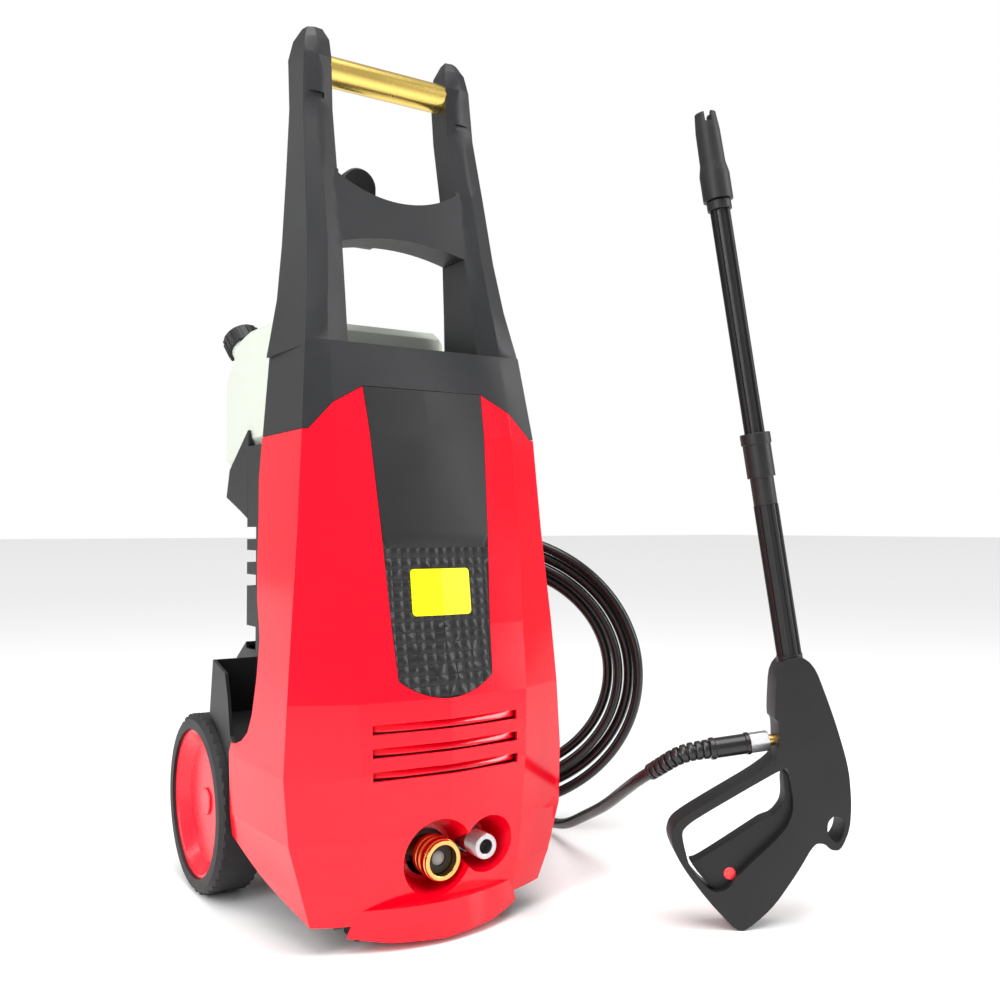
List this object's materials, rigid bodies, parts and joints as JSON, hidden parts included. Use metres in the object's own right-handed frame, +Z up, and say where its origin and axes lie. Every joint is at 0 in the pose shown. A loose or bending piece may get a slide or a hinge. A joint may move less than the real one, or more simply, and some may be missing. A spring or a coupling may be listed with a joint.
{
  "type": "pressure washer",
  "caption": "Upright electric pressure washer on two wheels with a handle frame, detergent tank, trigger gun, two-part wand and high-pressure hose.",
  "frame": {"origin": "middle of the rubber front foot's underside, on the floor and on the machine's middle plane", "axes": "+Z up, -Y out of the front face, +X to the right of someone who looks at the front"},
  "size_m": [0.52, 0.5959, 0.82],
  "materials": {
    "cover_red": "gloss moulded",
    "frame_black": "fine textured",
    "panel_black": "satin",
    "label_yellow": "printed film",
    "gold_anodised": "brushed anodised",
    "foot_rubber": "moulded",
    "steel": "turned",
    "rim_red": "gloss moulded",
    "tyre_black": "moulded",
    "brass": "turned",
    "filter_mesh": "mesh",
    "zinc_steel": "zinc plated",
    "motor_core": "laminated",
    "inner_plastic": "moulded",
    "cast_alloy": "die cast",
    "rocker_red": "gloss",
    "tank_white": "translucent blow moulded",
    "cap_black": "ribbed",
    "gun_black": "fine textured",
    "button_red": "gloss",
    "wand_black": "fluted",
    "hose_black": "smooth"
  },
  "bodies": {
    "chassis": {"front_shell": "cover_red", "front_panel": "panel_black", "label_plate": "label_yellow", "handle_frame": "frame_black", "handle_bar": "gold_anodised", "hose_hook": "frame_black", "rear_housing": "frame_black", "tank_cradle": "frame_black", "base_tray": "frame_black", "front_foot": "foot_rubber", "axle": "steel", "inlet_nipple": "brass", "inlet_filter": "filter_mesh", "outlet_fitting": "zinc_steel", "motor_can": "steel", "motor_stator": "motor_core", "motor_bearings": "steel", "pump_case": "cast_alloy", "pump_head": "cast_alloy", "piston_springs": "steel", "capacitor": "inner_plastic", "switch_body": "inner_plastic", "cord_gland": "inner_plastic", "cover_screws": "steel", "hose_lead": "hose_black", "hose_coil": "hose_black", "hose_end_coupling": "gun_black"},
    "wheel_left": {"wheel_rim_left": "rim_red", "wheel_tyre_left": "tyre_black", "wheel_cap_left": "rim_red"},
    "wheel_right": {"wheel_rim_right": "rim_red", "wheel_tyre_right": "tyre_black", "wheel_cap_right": "rim_red"},
    "inlet_swivel": {"inlet_coupling": "brass"},
    "switch_rocker": {"power_rocker": "rocker_red"},
    "tank": {"detergent_tank": "tank_white"},
    "tank_lid": {"tank_cap": "cap_black"},
    "rotor": {"motor_rotor": "steel", "cooling_fan": "inner_plastic", "swash_plate": "steel"},
    "piston_a": {"piston_1": "steel"},
    "piston_b": {"piston_2": "steel"},
    "piston_c": {"piston_3": "steel"},
    "gun": {"gun_shell_left": "gun_black", "gun_shell_right": "gun_black", "gun_valve_body": "brass", "valve_spring": "steel", "gun_screws": "steel", "trigger_pin": "steel", "wand_lower": "wand_black", "wand_coupler": "gun_black", "hose_nut": "zinc_steel", "hose_sleeve": "hose_black"},
    "trigger": {"gun_trigger": "gun_black"},
    "safety": {"safety_button": "button_red"},
    "stem": {"valve_stem": "steel"},
    "wand": {"wand_upper": "wand_black"},
    "nozzle_slide": {"nozzle_collar": "gun_black"},
    "nozzle": {"nozzle_head": "gun_black"}
  },
  "joints": [
    {"name": "wheel_left_spin", "type": "hinge", "parent": "chassis", "child": "wheel_left", "pos_m": [-0.1245, 0.186, 0.0855], "axis": [1, 0, 0], "continuous": true},
    {"name": "wheel_right_spin", "type": "hinge", "parent": "chassis", "child": "wheel_right", "pos_m": [0.1245, 0.186, 0.0855], "axis": [1, 0, 0], "continuous": true},
    {"name": "inlet_swivel_spin", "type": "hinge", "parent": "chassis", "child": "inlet_swivel", "pos_m": [0.0035, -0.042, 0.065], "axis": [0, 1, 0], "continuous": true},
    {"name": "rocker_tilt", "type": "hinge", "parent": "chassis", "child": "switch_rocker", "pos_m": [0, 0.184, 0.3], "axis": [1, 0, 0], "range_deg": [-8, 8]},
    {"name": "tank_lift", "type": "slide", "parent": "chassis", "child": "tank", "axis": [0, 0, 1], "range_m": [0, 0.07]},
    {"name": "tank_lid_twist", "type": "hinge", "parent": "tank", "child": "tank_lid", "pos_m": [-0.07332, 0.26433, 0.5557], "axis": [-0.1401, 0.6402, 0.7553], "continuous": true},
    {"name": "rotor_spin", "type": "hinge", "parent": "chassis", "child": "rotor", "pos_m": [0, 0.078, 0.206], "axis": [0, 0, 1], "continuous": true},
    {"name": "piston_a_stroke", "type": "slide", "parent": "chassis", "child": "piston_a", "axis": [0, 0, -1], "range_m": [0, 0.0045], "stiffness_N_per_m": 3000},
    {"name": "piston_b_stroke", "type": "slide", "parent": "chassis", "child": "piston_b", "axis": [0, 0, -1], "range_m": [0, 0.0045], "stiffness_N_per_m": 3000},
    {"name": "piston_c_stroke", "type": "slide", "parent": "chassis", "child": "piston_c", "axis": [0, 0, -1], "range_m": [0, 0.0045], "stiffness_N_per_m": 3000},
    {"name": "gun_lift", "type": "slide", "parent": "chassis", "child": "gun", "axis": [0, 0, 1], "range_m": [0, 0.25]},
    {"name": "trigger_pull", "type": "hinge", "parent": "gun", "child": "trigger", "pos_m": [0.27963, -0.18638, 0.13117], "axis": [-0.5402, -0.8415, 0], "range_deg": [0, 11], "stiffness_Nm_per_rad": 0.5, "springref_deg": -28.65},
    {"name": "safety_slide", "type": "slide", "parent": "trigger", "child": "safety", "axis": [-0.5402, -0.8415, 0], "range_m": [-0.004, 0]},
    {"name": "stem_push", "type": "slide", "parent": "gun", "child": "stem", "axis": [-0.1244, 0.0799, 0.989], "range_m": [0, 0.0035]},
    {"name": "wand_twist", "type": "hinge", "parent": "gun", "child": "wand", "pos_m": [0.25727, -0.17203, 0.40373], "axis": [-0.1244, 0.0799, 0.989], "range_deg": [0, 90]},
    {"name": "nozzle_pressure", "type": "slide", "parent": "wand", "child": "nozzle_slide", "axis": [-0.1244, 0.0799, 0.989], "range_m": [0, 0.006]},
    {"name": "nozzle_fan", "type": "hinge", "parent": "nozzle_slide", "child": "nozzle", "pos_m": [0.22374, -0.1505, 0.67027], "axis": [-0.1244, 0.0799, 0.989], "range_deg": [0, 90]}
  ],
  "couplings": [
    {"joint": "stem_push", "follows": "trigger_pull", "m_per_rad": 0.017}
  ]
}
